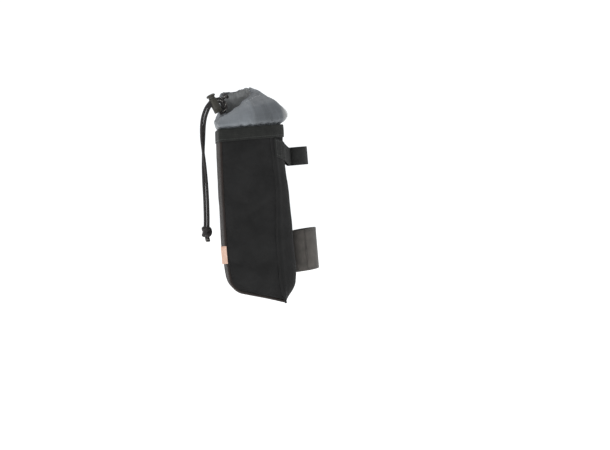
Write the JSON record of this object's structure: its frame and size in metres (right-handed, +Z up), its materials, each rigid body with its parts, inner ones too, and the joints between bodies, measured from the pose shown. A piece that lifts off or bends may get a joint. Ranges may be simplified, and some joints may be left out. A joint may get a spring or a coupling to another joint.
{
  "type": "stem bag",
  "caption": "Slim upright pouch of black woven nylon that straps to a bicycle's stem, with a grey drawstring collar gathered by a barrel cord lock.",
  "frame": {"origin": "on the axis of the stem that the bag is strapped to, level with the upper strap round it", "axes": "+Z up, +X from the bag towards the stem, +Y to the far side; the bag and the stem's axis lean 5 degrees back from +Z towards -X, and the free cord hangs plumb"},
  "size_m": [0.1459, 0.0922, 0.2578],
  "materials": {
    "side_cloth": "plain-weave coated nylon, matt",
    "front_cloth": "plain-weave coated nylon, seen lighter at a grazing angle",
    "hem_tape": "folded woven tape with topstitching",
    "collar_cloth": "light ripstop nylon with a soft sheen",
    "webbing": "ribbed webbing",
    "hook_and_loop": "brushed loop pile",
    "label_cloth": "blank folded satin tag",
    "lock_plastic": "moulded, fine matt",
    "cord_braid": "braided cord with pale tracer flecks"
  },
  "bodies": {
    "bag": {"side_panel_near": "side_cloth", "side_panel_far": "side_cloth", "back_panel": "side_cloth", "front_gusset": "front_cloth", "hem_band": "hem_tape", "collar": "collar_cloth", "upper_strap": "webbing", "lower_strap_loop": "hook_and_loop", "lower_strap_flap": "hook_and_loop", "side_label": "label_cloth", "cord_lock_barrel": "lock_plastic", "cord_strand_upper": "cord_braid", "cord_strand_lower": "cord_braid", "cord_knot": "cord_braid", "cord_tail_upper": "cord_braid", "cord_tail_lower": "cord_braid"},
    "lock_button": {"cord_lock_button": "lock_plastic"}
  },
  "joints": [
    {"name": "lock_button_press", "type": "slide", "parent": "bag", "child": "lock_button", "axis": [0.454, 0, -0.891], "range_m": [0, 0.0025], "stiffness_N_per_m": 250, "springref_m": -0.004}
  ]
}
